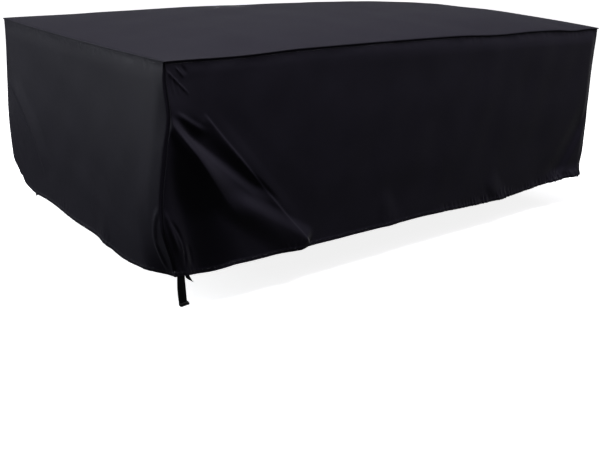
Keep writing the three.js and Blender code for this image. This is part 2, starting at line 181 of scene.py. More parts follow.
# Columns are the spans along a skirt, each with the step between its mesh's places.
SKIRTS = {
    "front_panel": dict(
        length=LENGTH, half=WIDTH / 2, turn=0, start="front_left", finish="front_right",
        roll=(-2, 12), rise=SEAM_RISE["front"],
        sags=rows(SAG, [(1800, 640, 25), (1150, 1150, 9), (150, 150, 24)]),
        folds=rows(FOLD, [
            (-16, 158, 330, 620, 0, 44, 16, 140, 16, 60, 0.3, 0.75, 0, 0.4),
            (190, 450, 620, 722, 0, 20, 50, 60, 60, 130, 0.35, 0.1, 0, 0),
            (30, 270, 170, 800, 0, -36, 40, 190, 30, 130, 0.35, 0.12, 0, 0),
            (30, 190, 470, 540, 0, -14, 75, 12, 20, 50, 0.2, 0.3, 0.2, 0.2),
            (137, 170, 620, 732, -4, 5.5, 9, 11, 40, 60, 0.06, 0.02, 1, 1),
            (160, 120, 660, 690, 0, -2.5, 60, 120, 30, 50, 0.3, 0.3, 0, 0),
            (20, 155, 165, 246, 0, 6, 12, 20, 14, 26, 0.3, 0.35, 0.2, 0.2),
            (4, 466, 34, 650, 8, 6, 12, 14, 10, 12, 0.25, 0.35, 0.5, 0.3),
            (38, 560, 62, 712, 12, 2.5, 14, 16, 14, 16, 0.35, 0.3, 0.2, 0.2),
            (22, 505, 44, 712, 26, -6, 9, 10, 9, 10, 0.25, 0.3, 0.3, 0.3),
            (84, 610, 92, 712, 6, -4, 14, 16, 18, 20, 0.3, 0.3, 0, 0),
            (1660, 600, 1860, 765, -20, 7, 80, 60, 44, 60, 0.4, 0.25, 0, 0),
            (985, 560, 1062, 760, 0, 5, 42, 90, 42, 90, 0.5, 0.15, 0, 0),
            (2450, 330, 2180, 765, 0, -12, 40, 60, 90, 130, 0.35, 0.2, 0, 0),
            (2110, 742, 2480, 736, 0, 17, 74, 74, 40, 40, 0.35, 0.05, 0, 0),
            (2450, 520, 2350, 775, 10, 4, 30, 50, 26, 50, 0.4, 0.2, 0, 0),
        ]) + foot_pulls([(551, 0.5), (1063, 0.7), (1808, 1.0), (2208, 1.5)]),
        dips=rows(SAG, [(280, 280, -5), (1640, 280, -6), (2222, 150, -6)]),
        ripples=rows(SAG, [
            (90, 150, 0.5), (1063, 90, 0.6), (1420, 130, 2.0), (1640, 180, 3.4), (1840, 100, 3.0),
            (2030, 130, 3.4), (2330, 240, 8),
        ]),
        columns=[(8, 2), (652, 4), (700, 10), (832, 4.4), (240, 2.4), (8, 2)]),
    "right_panel": dict(
        length=WIDTH, half=LENGTH / 2, turn=1, start="front_right", finish="back_right",
        roll=(10, 8), rise=SEAM_RISE["right"], sags=rows(SAG, [(660, 500, 8)]),
        dips=[], ripples=rows(SAG, [(200, 200, 1.0), (900, 260, 0.6)]),
        folds=rows(FOLD, [
            (10, 300, 190, 760, 0, 9, 60, 60, 60, 60, 0.4, 0.15, 0, 0),
            (1300, 260, 1080, 760, 0, 9, 70, 70, 60, 60, 0.4, 0.15, 0, 0),
        ]),
        columns=[(8, 2), (1304, 6.5), (8, 2)]),
    "back_panel": dict(
        length=LENGTH, half=WIDTH / 2, turn=2, start="back_right", finish="back_left",
        roll=(8, 6), rise=SEAM_RISE["back"], sags=rows(SAG, [(1220, 900, 12)]),
        dips=[], ripples=rows(SAG, [(300, 260, 0.9), (1300, 300, 0.6), (2150, 260, 0.9)]),
        folds=rows(FOLD, [
            (16, 240, 330, 760, 0, 12, 90, 90, 80, 80, 0.35, 0.15, 0, 0),
            (2424, 220, 2080, 760, 0, 13, 90, 90, 90, 90, 0.35, 0.15, 0, 0),
            (1180, 480, 1230, 760, 0, 6, 90, 90, 90, 90, 0.5, 0.15, 0, 0),
        ]),
        columns=[(8, 2), (2424, 6.5), (8, 2)]),
    "left_panel": dict(
        length=WIDTH, half=LENGTH / 2, turn=3, start="back_left", finish="front_left",
        roll=(3, 2), rise=SEAM_RISE["left"],
        sags=rows(SAG, [(990, 230, 19), (740, 260, -5), (340, 340, -20)]),
        folds=rows(FOLD, [
            (30, 240, 360, 640, 50, 5, 90, 110, 20, 26, 0.3, 0.2, 0, 0),
            (4, 320, 160, 640, 0, 3, 60, 60, 40, 40, 0.3, 0.3, 0, 0),
            (1315, -40, 1100, 790, 0, 13, 5, 220, 420, 700, 0.5, 0.2, -1, 0),
            (1313, 462, 1264, 618, -4, 4.5, 9, 10, 18, 20, 0.3, 0.25, 0.4, 0.2),
            (1266, 582, 1290, 722, -8, 4, 9, 10, 16, 18, 0.3, 0.3, 0.4, 0.2),
            (860, 600, 865, 760, 0, 5, 60, 60, 60, 60, 0.6, 0.1, 0, 0),
        ]) + foot_pulls([(505, 0.6), (864, 0.7)]),
        dips=[], ripples=rows(SAG, [(120, 160, 0.7), (505, 120, 0.5), (864, 110, 0.5), (1230, 110, 0.6)]),
        columns=[(8, 2), (1132, 6), (172, 4), (8, 2)]),
}
# Small sharp creases that run right up to a seam.
CREASES = {
    "front_panel": rows(FOLD, [
        (8, 26, 92, 112, 0, 3.5, 5, 6, 6, 8, 0.15, 0.3, 1, 1),
        (38, 16, 76, 56, 0, 3, 5, 6, 5, 6, 0.2, 0.4, 1, 1),
        (24, 40, 30, 112, 0, 2.5, 5, 6, 5, 6, 0.2, 0.4, 1, 1),
        (44, 50, 48, 108, 0, 2.5, 5, 6, 5, 6, 0.2, 0.4, 1, 1),
        (60, 12, 84, 46, 0, -2.5, 8, 10, 8, 10, 0.2, 0.4, 0, 0),
    ]),
}
WAVINESS = {"left_panel": 0.4, "front_panel": 0.8}  # the near sides hang tighter
SET_BACK = {"left_panel": 0.8}  # and this one close under the top sheet's rim
CREASE_FREE = 8.0  # how far from a seam a crease has its full height
FOLD_FREE_SEAM, FOLD_FREE_TOP = 16.0, 30.0  # the same for a fold, from a corner seam and from the top seam
for seed, (panel, skirt) in enumerate(SKIRTS.items()):
    skirt.update(creases=CREASES.get(panel, []), seed=10 * seed, waviness=WAVINESS.get(panel, 1.0),
                 set_back=SET_BACK.get(panel, SEAM_SET_BACK))

ROLL_DEPTH = 70.0  # how far under the top seam a skirt's roll is full
BELLY = 6.0  # how far its middle stands out
FULL_BY = 70.0  # how far from a corner seam its roll and belly are full
PEAK_ROUND = 0.08  # how far out a fold's peak is rounded, as a share of its side

# The cloth's own unevenness: the length and typical height of its soft waves, and the small ripples and
# puckers that the sewing gathers it into along the hem and under the top seam.
SOFT_WAVE = dict(length=240.0, height=1.1)
TOP_WAVE = dict(length=320.0, height=1.2, seed=5)
RIPPLE_STEP = 10.0  # from one crest or hollow of a ripple to the next
RIPPLE_SLANT = 0.35  # how far they slant, over their height
RIPPLE_HEIGHT = 46.0  # how far up from the hem the ripples reach
RIPPLE_LEAST = 0.4  # how far they stand out where nothing gathers the hem
RIPPLE_LINING = 0.5  # for each millimetre of that, the share of the skin by which the inner face lies deeper
PUCKER_STEP = 17.0  # from one pucker's middle to the next
PUCKER = 0.7  # how far they stand out
PUCKER_AT, PUCKER_REACH = 13.6, 20.4  # how far under the seam they are deepest, and their reach from there
HEM_PROUD = 0.7  # how far the turned hem stands proud of the cloth
HEM_TURN = 2.0  # how much of the drop its edge takes
DIP_DEPTH = 160.0  # how far down from the top seam its dips have died away
DIP_INWARDS = 240.0  # and how far in over the top


def fold_height(fold, along, down):
    """One fold: its height, times its profile across, times a growth and a dying away along its run. Each
    side has its own reach, which changes evenly from the start of the run to the end, and its own form.
    Form 0 is half a cosine wave, form 1 the square of what is left of the way out, with its peak rounded
    off a little, and form -1 a dome, 1 less the square of the way out. Across its run the fold is bowed by
    a parabola."""
    run = np.array([fold["to_along"] - fold["along"], fold["to_down"] - fold["down"]])
    reach = np.hypot(*run)
    run_along, run_down = run / reach
    off_along, off_down = along - fold["along"], down - fold["down"]
    share = (off_along * run_along + off_down * run_down) / reach
    inside = (share > 0) & (share < 1)
    across = off_along * run_down - off_down * run_along - fold["bow"] * arch(share)
    reached = np.clip(share, 0, 1)
    side = np.where(
        across > 0,
        blend(fold["above"], fold["above_to"], reached),
        blend(fold["below"], fold["below_to"], reached),
    )
    outward = np.clip(np.abs(across) / side, 0, 1)
    rounded = (np.hypot(outward, PEAK_ROUND) - PEAK_ROUND) / (math.hypot(1, PEAK_ROUND) - PEAK_ROUND)
    form = np.where(across > 0, fold["above_form"], fold["below_form"])
    profile = (
        swell(outward, 0, 1) * (1 - np.abs(form))
        + (1 - rounded) ** 2 * np.clip(form, 0, 1)
        + (1 - outward ** 2) * np.clip(-form, 0, 1)
    )
    growth = ease(share, 0, fold["start"]) * (1 - ease(share, 1 - fold["end"], 1))
    return np.where(inside, fold["height"] * growth * profile, 0)


def corner_lean(corner, out_of, down, distance, felt_by=None):
    """How far a sewn corner moves out of the plane of one of its skirts: the sum of its leans, each a swell
    about its own depth times a swell that dies out along that skirt, or along the other one, where it is
    felt as a move sideways."""
    spread = (felt_by or out_of) + "_spread"
    return sum(
        lean[out_of] * swell(down, lean["down"], lean["reach"]) * swell(distance, 0, lean[spread])
        for lean in CORNERS[corner]["leans"]
    )


def skirt_relief(skirt, along, down, gathers):
    """What stands out of a skirt's smooth surface. Folds and soft waves die out before the seams, and
    creases run nearly up to them. The hem has its ripples and its turned edge, and the top seam its
    puckers."""
    to_finish = skirt["length"] - along
    free = ease(along, 0, FOLD_FREE_SEAM) * ease(to_finish, 0, FOLD_FREE_SEAM) * ease(down, 0, FOLD_FREE_TOP)
    held_ends = ease(along, 0, CREASE_FREE) * ease(to_finish, 0, CREASE_FREE)
    folds = sum(fold_height(fold, along, down) for fold in skirt["folds"])
    creases = sum(fold_height(fold, along, down) for fold in skirt["creases"])
    soft = undulation(along, down, SOFT_WAVE["length"], skirt["seed"])
    waves = SOFT_WAVE["height"] * skirt["waviness"] * soft
    slanted = along + RIPPLE_SLANT * (DROP - down)
    ripples = gathers * uneven(slanted, RIPPLE_STEP, skirt["seed"] + 1)
    puckers = PUCKER * uneven(along, PUCKER_STEP, skirt["seed"] + 2) * swell(down, PUCKER_AT, PUCKER_REACH)
    hem = HEM_PROUD * ease(down, DROP - HEM - HEM_TURN, DROP - HEM)
    return (
        (folds + waves) * free
        + creases * held_ends * ease(down, 0, CREASE_FREE)
        + (ripples + puckers + hem) * held_ends
    )


def skirt_points(skirt, along, down, inwards):
    """Where a skirt's cloth lies: its flat place, moved outwards by its relief, roll, belly and leaning
    corners, down by its sags and up by its corners' lifts, then set in from its outer face and turned to
    its own side. Its upper edge and its corner seams are tucked in behind their neighbours."""
    length = skirt["length"]
    to_finish, share, depth = length - along, along / length, down / DROP
    gathered = ease(down, DROP - RIPPLE_HEIGHT, DROP - HEM)
    gathers = (RIPPLE_LEAST + swells(skirt["ripples"], along)) * gathered
    inwards = inwards * (1 + RIPPLE_LINING * gathers)
    fullness = ease(along, 0, FULL_BY) * ease(to_finish, 0, FULL_BY)
    rolled = blend(*skirt["roll"], share) * ease(down, 0, ROLL_DEPTH)
    out = (
        skirt_relief(skirt, along, down, gathers)
        + (rolled + BELLY * swell(down, DROP / 2, DROP / 2)) * fullness
        + corner_lean(skirt["start"], "after", down, along)
        + corner_lean(skirt["finish"], "before", down, to_finish)
    )
    sideways = (
        corner_lean(skirt["finish"], "after", down, to_finish, "before")
        - corner_lean(skirt["start"], "before", down, along, "after")
    )
    start, finish = CORNERS[skirt["start"]], CORNERS[skirt["finish"]]
    sag = swells(skirt["sags"], along)
    lift = (
        start["lift"] * swell(along, 0, start["lift_spread"])
        + finish["lift"] * swell(to_finish, 0, finish["lift_spread"])
    )
    tuck = skirt["set_back"] * (1 - ease(down, 0, SEAM_TUCK))
    open_hem = 1 - ease(down, DROP - HEM - LIP_TURN, DROP - HEM)
    corner_tuck = CORNER_TUCK * open_hem * (swell(along, 0, LIP_TURN) - swell(to_finish, 0, LIP_TURN))
    out = out - np.maximum(tuck, np.abs(corner_tuck))
    dips = swells(skirt["dips"], along) * (1 - ease(down, 0, DIP_DEPTH))
    seam = (skirt["rise"] * arch(share) - SKIRT_START) * (1 - depth) + dips
    height = SEAM_LEVEL + seam - down - (sag - lift) * depth ** 2
    x = along - length / 2 + sideways + corner_tuck + inwards * (1 - 2 * share)
    y = -(skirt["half"] + out) + inwards
    cosine, sine = [(1, 0), (0, 1), (-1, 0), (0, -1)][skirt["turn"]]
    return np.stack(np.broadcast_arrays(x * cosine - y * sine, x * sine + y * cosine, height), axis=-1)


def top_height(x, y):
    """Height of the top sheet's upper face: the seams' own arches mixed across it, and a crown between them
    that falls late towards the edges."""
    along, across = x / LENGTH + 0.5, y / WIDTH + 0.5
    crown = (
        CROWN
        * (1 - np.clip(np.abs(2 * along - 1), 0, 1) ** CROWN_POWER_LENGTH)
        * (1 - np.clip(np.abs(2 * across - 1), 0, 1) ** CROWN_POWER_WIDTH)
    )
    soft = undulation(x, y, TOP_WAVE["length"], TOP_WAVE["seed"])
    waves = TOP_WAVE["height"] * soft * np.sqrt(crown / CROWN)
    from_front = across * WIDTH
    dips = swells(SKIRTS["front_panel"]["dips"], along * LENGTH) * swell(from_front, 0, DIP_INWARDS)
    return (
        SEAM_LEVEL + crown + waves + dips
        + arch(along) * blend(SEAM_RISE["front"], SEAM_RISE["back"], across)
        + arch(across) * blend(SEAM_RISE["left"], SEAM_RISE["right"], along)
    )


# ---- Meshes ----
RIDGE_HIGHLIGHT_RANGE = (0.1, 0.5)  # the bend, over a step, from which a ridge gets its painted highlight, and at which that highlight is full
SHARP = 60  # degrees between two faces from which their edge stays sharp
STITCH_PITCH = 4.4
STITCH_SHARE = 0.8  # how much of its pitch a stitch covers
STITCH_RINGS, STITCH_SIDES = 5, 6
THREAD = 0.9  # thickness of a stitch in its middle
THREAD_END = 0.45  # its end's thickness over that
THREAD_SUNK = 0.15  # how far its ends' middles lie in the cloth


def places(spans):
    """Places from 0 on: each span of (how far, step) in an even number of equal steps near that step."""
    found, at = [0.0], 0.0
    for width, step in spans:
        count = 2 * max(1, round(width / step / 2))
        found += list(at + width * np.arange(1, count + 1) / count)
        at += width
    return np.array(found)


def new_piece(name, points, faces, uv=None):
    """A mesh piece from points in millimetres and arrays of faces, with its cloth's own flat places as its UV
    map, in metres."""
    mesh = bpy.data.meshes.new(name)
    mesh.from_pydata((points * MM).tolist(), [], [face for group in faces for face in group.tolist()])
    mesh.polygons.foreach_set("use_smooth", np.ones(len(mesh.polygons), dtype=bool))
    if uv is not None:
        layer = mesh.uv_layers.new(name="flat")
        corner = np.empty(len(mesh.loops), dtype=np.int32)
        mesh.loops.foreach_get("vertex_index", corner)
        layer.data.foreach_set("uv", (uv[corner] * MM).ravel().astype(np.float32))
    mesh.update()
    piece = bpy.data.objects.new(name, mesh)
    bpy.context.scene.collection.objects.link(piece)
    mesh.set_sharp_from_angle(angle=math.radians(SHARP))
    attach(piece, "root")
    return piece


def ridge_sharpness(points):
    """How sharply each place of a grid stands out as a ridge, 0 to 1: the point less the mean of its four
    neighbours, taken along the outward normal and over the square of the step."""
    down_edge, across_edge = np.gradient(points, axis=0), np.gradient(points, axis=1)
    normal = np.cross(down_edge, across_edge)
    step = np.linalg.norm(normal, axis=-1)
    normal = normal / np.maximum(step, 1e-9)[..., None]
    padded = np.pad(points, ((1, 1), (1, 1), (0, 0)), mode="reflect", reflect_type="odd")
    mean = (padded[:-2, 1:-1] + padded[2:, 1:-1] + padded[1:-1, :-2] + padded[1:-1, 2:]) / 4
    bend = np.einsum("ijk,ijk->ij", points - mean, normal) / np.maximum(step, 1e-9)
    return ease(bend, *RIDGE_HIGHLIGHT_RANGE)


def closed_sheet(name, shape, across, down, skin=SKIN, ridge_highlight_share=0.0):
    """A closed sheet. Its outer face is a grid of rows down and columns across, its inner face a grid of
    every other row and column set in by the skin, and along the rim three triangles join each inner edge to
    two outer ones. The shape gives a point for each place across, place down and depth. Ridges are marked
    for a painted highlight, as far as asked."""
    fine = shape(across[None, :], down[:, None], 0.0)
    coarse = shape(across[None, ::2], down[::2, None], skin)
    outer = np.arange(fine[..., 0].size).reshape(fine.shape[:2])
    inner = outer.size + np.arange(coarse[..., 0].size).reshape(coarse.shape[:2])

    def halves(grid, flip):
        """A grid's cells, each as two triangles, turned over where it faces inwards."""
        a, b, c, d = grid[:-1, :-1], grid[1:, :-1], grid[1:, 1:], grid[:-1, 1:]
        faces = np.stack([a, b, c, a, c, d], axis=-1).reshape(-1, 3)
        return faces[:, ::-1] if flip else faces

    def rim(grid):
        """A grid's edge, once round: down its first column, along its last row, and back."""
        return np.concatenate([grid[:, 0], grid[-1, 1:], grid[-2::-1, -1], grid[0, -2::-1]])

    edge, lining = rim(outer), rim(inner)
    faces = [
        halves(outer, False),
        halves(inner, True),
        np.stack([edge[:-2:2], lining[:-1], edge[1:-1:2]], axis=-1),
        np.stack([edge[1:-1:2], lining[:-1], lining[1:]], axis=-1),
        np.stack([edge[1:-1:2], lining[1:], edge[2::2]], axis=-1),
    ]
    points = np.concatenate([fine.reshape(-1, 3), coarse.reshape(-1, 3)])
    flat = np.concatenate([
        np.stack(np.broadcast_arrays(across[None, ::skip], -down[::skip, None]), axis=-1).reshape(-1, 2)
        for skip in (1, 2)
    ])
    piece = new_piece(name, points, faces, flat)
    # Painted highlight: sharp ridges are marked so that the cloth's colour is painted lighter there.
    painted_ridge_highlight = ridge_sharpness(fine) * ridge_highlight_share
    layer = piece.data.attributes.new("painted_ridge_highlight", "FLOAT", "POINT")
    both = np.concatenate([painted_ridge_highlight.ravel(), painted_ridge_highlight[::2, ::2].ravel()])
    layer.data.foreach_set("value", both.astype(np.float32))
    return piece


def stitch_row(name, place, start, finish):
    """A row of stitches along a line on the cloth: short threads laid end to end, each a tube whose middle
    stands proud and whose ends sink into the cloth, both by a parabola. The place function gives a point of
    the cloth for a distance along the line and one down from it. A point further down and one further along
    give the directions across the thread."""
    count = int((finish - start) / STITCH_PITCH)
    first = start + (np.arange(count) + 0.5 * (1 - STITCH_SHARE)) * (finish - start) / count
    share = np.linspace(0, 1, STITCH_RINGS)
    at = first[:, None] + share[None, :] * STITCH_SHARE * STITCH_PITCH
    line, beside, ahead = place(at, 0.0), place(at, 1.0), place(at + 1.0, 0.0)
    along = (ahead - line) / np.linalg.norm(ahead - line, axis=-1, keepdims=True)
    outward = np.cross(beside - line, along)
    outward = outward / np.linalg.norm(outward, axis=-1, keepdims=True)
    sideways = np.cross(outward, along)
    bulge = arch(share)[None, :, None, None]
    radius = THREAD / 2 * blend(THREAD_END, 1, bulge)
    turn = np.arange(STITCH_SIDES) * 2 * np.pi / STITCH_SIDES
    ring = np.cos(turn)[:, None] * sideways[:, :, None] + np.sin(turn)[:, None] * outward[:, :, None]
    points = line[:, :, None] + (THREAD / 2 * bulge - THREAD_SUNK) * outward[:, :, None] + radius * ring
    index = np.arange(points[..., 0].size).reshape(points.shape[:3])
    a, b = index[:, :-1], index[:, 1:]
    sides = np.stack([a, np.roll(a, -1, 2), np.roll(b, -1, 2), b], axis=-1).reshape(-1, 4)
    piece = new_piece(name, points.reshape(-1, 3), [sides, index[:, 0, ::-1], index[:, -1]])
    piece.data.materials.append(SEWING_THREAD)
    return piece


# ---- Materials ----
# Pattern sizes in millimetres. The cloth's threads lie 0.35 apart and are drawn in pairs and at twice their
# size, because finer ones don't show.
WEAVE_PITCH, WEAVE_DEPTH = 1.4, 0.12
SLUB_LENGTH = 2.5  # thicker places in the cloth's yarn
CLOUD_LENGTH = 130.0  # uneven places in its coating
TWIST, TWIST_DEPTH = 0.6, 0.1  # turns of the sewing thread
YARN, YARN_DEPTH = 0.7, 0.25  # the webbing's yarn
GRAIN, GRAIN_DEPTH = 0.5, 0.08  # the mould's texture
RIDGE_HIGHLIGHT = 0.3  # how far a fully sharp ridge is painted a lighter grey, as a painted highlight


def colour(text):
    """An sRGB hex colour as linear red, green, blue and alpha."""
    parts = [int(text[at:at + 2], 16) / 255 for at in (1, 3, 5)]
    return tuple(p / 12.92 if p <= 0.04045 else ((p + 0.055) / 1.055) ** 2.4 for p in parts) + (1.0,)


def feed(tree, made, **inputs):
    """Gives a node its inputs. Each has the input's name, with spaces as underscores, or an underscore and
    its number, and is a value or another node's output."""
    for key, value in inputs.items():
        socket = made.inputs[int(key[1:])] if key[0] == "_" else made.inputs[key.replace("_", " ")]
        if isinstance(value, bpy.types.NodeSocket):
            tree.links.new(value, socket)
        else:
            socket.default_value = value


def node(tree, kind, settings=None, **inputs):
    """Adds one node with its own settings and its inputs."""
    made = tree.nodes.new(kind)
    for key, value in (settings or {}).items():
        setattr(made, key, value)
    feed(tree, made, **inputs)
    return made


def new_material(name):
    """A material with an empty Principled shader on its output."""
    material = bpy.data.materials.new(name)
    material.use_nodes = True
    tree = material.node_tree
    tree.nodes.clear()
    shader = node(tree, "ShaderNodeBsdfPrincipled")
    node(tree, "ShaderNodeOutputMaterial", Surface=shader.outputs["BSDF"])
    return material, tree, shader


def oxford_cloth():
    """Polyester oxford cloth, basket woven and coated behind: near black, with a soft broad sheen that lights
    up on raised folds, a fine even weave, faint cloudy unevenness, and a painted highlight, a lighter grey,
    along sharp ridges."""
    material, tree, shader = new_material("coated_oxford_cloth")
    flat = node(tree, "ShaderNodeUVMap", {"uv_map": "flat"}).outputs["UV"]
    parts = node(tree, "ShaderNodeSeparateXYZ", Vector=flat)
    crossed = []
    for axis in "XY":
        turned = node(tree, "ShaderNodeMath", {"operation": "MULTIPLY"}, _0=parts.outputs[axis],
                      _1=2 * math.pi / (WEAVE_PITCH * MM))
        crossed.append(node(tree, "ShaderNodeMath", {"operation": "SINE"}, _0=turned.outputs[0]).outputs[0])
    weave = node(tree, "ShaderNodeMath", {"operation": "MULTIPLY"}, _0=crossed[0], _1=crossed[1])
    slub = node(tree, "ShaderNodeTexNoise", Vector=flat, Scale=1 / (SLUB_LENGTH * MM), Detail=2.0)
    raised = node(tree, "ShaderNodeMath", {"operation": "ADD"}, _0=weave.outputs[0], _1=slub.outputs["Fac"])
    bump = node(tree, "ShaderNodeBump", Height=raised.outputs[0], Strength=0.35, Distance=WEAVE_DEPTH * MM)
    cloud = node(tree, "ShaderNodeTexNoise", Vector=flat, Scale=1 / (CLOUD_LENGTH * MM), Detail=3.0)
    shade = node(tree, "ShaderNodeMix", {"data_type": "RGBA"}, Factor=cloud.outputs["Fac"],
                 _6=colour("#121019"), _7=colour("#181620"))
    # Painted highlight: sharp ridges are painted a lighter grey.
    painted_ridge_highlight = node(tree, "ShaderNodeAttribute", {"attribute_name": "painted_ridge_highlight"})
    ridge_lightening = node(tree, "ShaderNodeMath", {"operation": "MULTIPLY"}, _0=painted_ridge_highlight.outputs["Fac"], _1=RIDGE_HIGHLIGHT)
    shown = node(tree, "ShaderNodeMix", {"data_type": "RGBA"}, Factor=ridge_lightening.outputs[0],
                 _6=shade.outputs[2], _7=colour("#2b2933"))
    rough = node(tree, "ShaderNodeMapRange", Value=cloud.outputs["Fac"], To_Min=0.5, To_Max=0.6)
    feed(tree, shader, Base_Color=shown.outputs[2], Roughness=rough.outputs["Result"],
         Normal=bump.outputs["Normal"], Specular_IOR_Level=0.2, Sheen_Weight=0.06, Sheen_Roughness=0.35)
    return material


def sewing_thread():
    """Bonded polyester sewing thread: smooth and black, a little shinier than the cloth that it is sewn
    into."""
    material, tree, shader = new_material("bonded_polyester_thread")
    place = node(tree, "ShaderNodeTexCoord").outputs["Object"]
    twist = node(tree, "ShaderNodeTexNoise", Vector=place, Scale=1 / (TWIST * MM), Detail=1.0)
    bump = node(tree, "ShaderNodeBump", Height=twist.outputs["Fac"], Strength=0.3, Distance=TWIST_DEPTH * MM)
    feed(tree, shader, Base_Color=colour("#17161d"), Roughness=0.42, Normal=bump.outputs["Normal"])
    return material


def woven_webbing():
    """Polypropylene webbing, woven in close ribs: black and dull, because light is lost between its yarns,
    with painted shade that makes the gaps between them darker still."""
    material, tree, shader = new_material("woven_polypropylene_webbing")
    flat = node(tree, "ShaderNodeUVMap", {"uv_map": "flat"}).outputs["UV"]
    yarn = node(tree, "ShaderNodeTexNoise", Vector=flat, Scale=1 / (YARN * MM), Detail=2.0)
    bump = node(tree, "ShaderNodeBump", Height=yarn.outputs["Fac"], Strength=0.5, Distance=YARN_DEPTH * MM)
    # Painted shade: the yarn's low places, the gaps between the yarns, are painted darker.
    shade = node(tree, "ShaderNodeMix", {"data_type": "RGBA"}, Factor=yarn.outputs["Fac"],
                 _6=colour("#020203"), _7=colour("#070709"))
    feed(tree, shader, Base_Color=shade.outputs[2], Roughness=0.6, Normal=bump.outputs["Normal"],
         Specular_IOR_Level=0.2)
    return material


def moulded_acetal():
    """Injection-moulded acetal: black and waxy, with a fine spark-eroded texture that breaks up its shine."""
    material, tree, shader = new_material("moulded_acetal")
    place = node(tree, "ShaderNodeTexCoord").outputs["Object"]
    grain = node(tree, "ShaderNodeTexNoise", Vector=place, Scale=1 / (GRAIN * MM), Detail=2.0)
    bump = node(tree, "ShaderNodeBump", Height=grain.outputs["Fac"], Strength=0.25, Distance=GRAIN_DEPTH * MM)
    rough = node(tree, "ShaderNodeMapRange", Value=grain.outputs["Fac"], To_Min=0.32, To_Max=0.46)
    feed(tree, shader, Base_Color=colour("#050506"), Roughness=rough.outputs["Result"],
         Normal=bump.outputs["Normal"])
    return material


COATED_CLOTH = oxford_cloth()
SEWING_THREAD = sewing_thread()
WEBBING_WEAVE = woven_webbing()
ACETAL = moulded_acetal()


# ---- The cloth panels ----
STITCH_MARGIN = 6.0  # how far from a corner a row of stitches ends
HEM_STITCHED = 3.5  # how far under the hem's upper edge it is sewn
SEAM_STITCHED = 8.0  # how far under the top seam it is sewn down
HIGHLIGHT_FROM_CORNER, HIGHLIGHT_FROM_TOP = (3.0, 12.0), (6.0, 20.0)  # where the painted ridge highlight starts, and where it is full
RIM_STEP, TOP_STEP_LONG, TOP_STEP_WIDE = 1.2, 14, 12  # between the top sheet's places, at its rim and inside
# The spans down a skirt, each with the step between its mesh's places.
DOWN_PLACES = places([
    (LIP_TURN, 2), (DROP - LIP_TURN - RIPPLE_HEIGHT, 5.6), (RIPPLE_HEIGHT - HEM - HEM_TURN, 4),
    (HEM_TURN, 1), (HEM - HEM_TURN, 3.5), (HEM_TURN, 1),
])


def skirt_piece(name):
    """One hanging skirt, from its seam to its hem, with its two rows of stitches."""
    skirt = SKIRTS[name]
    along = places(skirt["columns"])

    def shape(at, down, inwards):
        """This skirt's cloth."""
        return skirt_points(skirt, at, down, inwards)

    def sewn(down):
        """The line of a row of stitches at one depth."""
        return lambda at, lower: skirt_points(skirt, at, down + lower, 0.0)

    # The painted ridge highlight is kept away from the corner seams and the top seam.
    from_corners = ease(along, *HIGHLIGHT_FROM_CORNER) * ease(skirt["length"] - along, *HIGHLIGHT_FROM_CORNER)
    away_from_seams = from_corners * ease(DOWN_PLACES, *HIGHLIGHT_FROM_TOP)[:, None]
    piece = closed_sheet(name + "_cloth", shape, along, DOWN_PLACES, ridge_highlight_share=away_from_seams)
    piece.data.materials.append(COATED_CLOTH)
    side = name.split("_")[0]
    stitches = [
        stitch_row(f"{side}_{part}_stitches", sewn(down), STITCH_MARGIN, skirt["length"] - STITCH_MARGIN)
        for part, down in (("hem", DROP - HEM + HEM_STITCHED), ("seam", SEAM_STITCHED))
    ]
    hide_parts(name)


def top_piece():
    """The top sheet, crowned between its seams, with its rim turned down round a small lip."""
    turn = LIP * math.radians(LIP_ANGLE)

    def rimmed(size, step):
        """Places from one rim's end to the other's, 0 in the middle."""
        return places([(turn, RIM_STEP), (size - 2 * LIP, step), (turn, RIM_STEP)]) - turn - (size / 2 - LIP)

    def lipped(at, half):
        """Where a place along the sheet comes to, how far it drops and how far it is turned: round a circle
        past the flat part."""
        angle = np.clip(np.abs(at) - (half - LIP), 0, None) / LIP
        flat = np.clip(at, LIP - half, half - LIP)
        return flat + np.sign(at) * LIP * np.sin(angle), LIP * (1 - np.cos(angle)), angle

    def shape(at_x, at_y, inwards):
        """The crowned sheet less its drop at the rim, with its thickness taken square to the turn."""
        x, x_drop, x_angle = lipped(at_x, LENGTH / 2)
        y, y_drop, y_angle = lipped(at_y, WIDTH / 2)
        drop = np.maximum(x_drop, y_drop)
        z = top_height(x, -y) - drop - inwards * np.cos(np.maximum(x_angle, y_angle))
        x = x - np.sign(x) * inwards * np.sin(x_angle)
        y = y - np.sign(y) * inwards * np.sin(y_angle)
        return np.stack(np.broadcast_arrays(x, -y, z), axis=-1)

    across, down = rimmed(LENGTH, TOP_STEP_LONG), rimmed(WIDTH, TOP_STEP_WIDE)
    piece = closed_sheet("top_panel_cloth", shape, across, down)
    piece.data.materials.append(COATED_CLOTH)
    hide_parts("top_panel")


# ---- Webbing and the buckle half ----
STRAP = dict(width=30.0, length=104.0)
TAIL = dict(width=16.0, length=31.0)
TIP = dict(width=19.0, length=14.0)
WEBBING = 2.0  # thickness of the webbing
SEWN_GAP = 0.2  # between the hem and the webbing behind it
BEHIND_HEM = SKIN + WEBBING / 2 + SEWN_GAP  # how far in its middle is sewn on behind the hem
LEVEL_BY, CANT_BY = 0.25, 0.5  # shares of its length over which it loses the hem's slope, and takes its end's
POINT_WIDTH = 0.25  # a pointed end's width over its webbing's
RIB, RIB_PITCH, RIB_ROWS = 0.22, 2.6, 4  # height and pitch of the ribs across it, and their rows down it
ACROSS_STEP, DOWN_STEP = 1.3, 0.7  # between its mesh's places
FOLD_BACK = 22.0  # how much of the strap's end is turned back behind it
FOLD_ROUND = 1.25  # radius of that turn
UPWARDS = np.array([0.0, 0.0, 1.0])


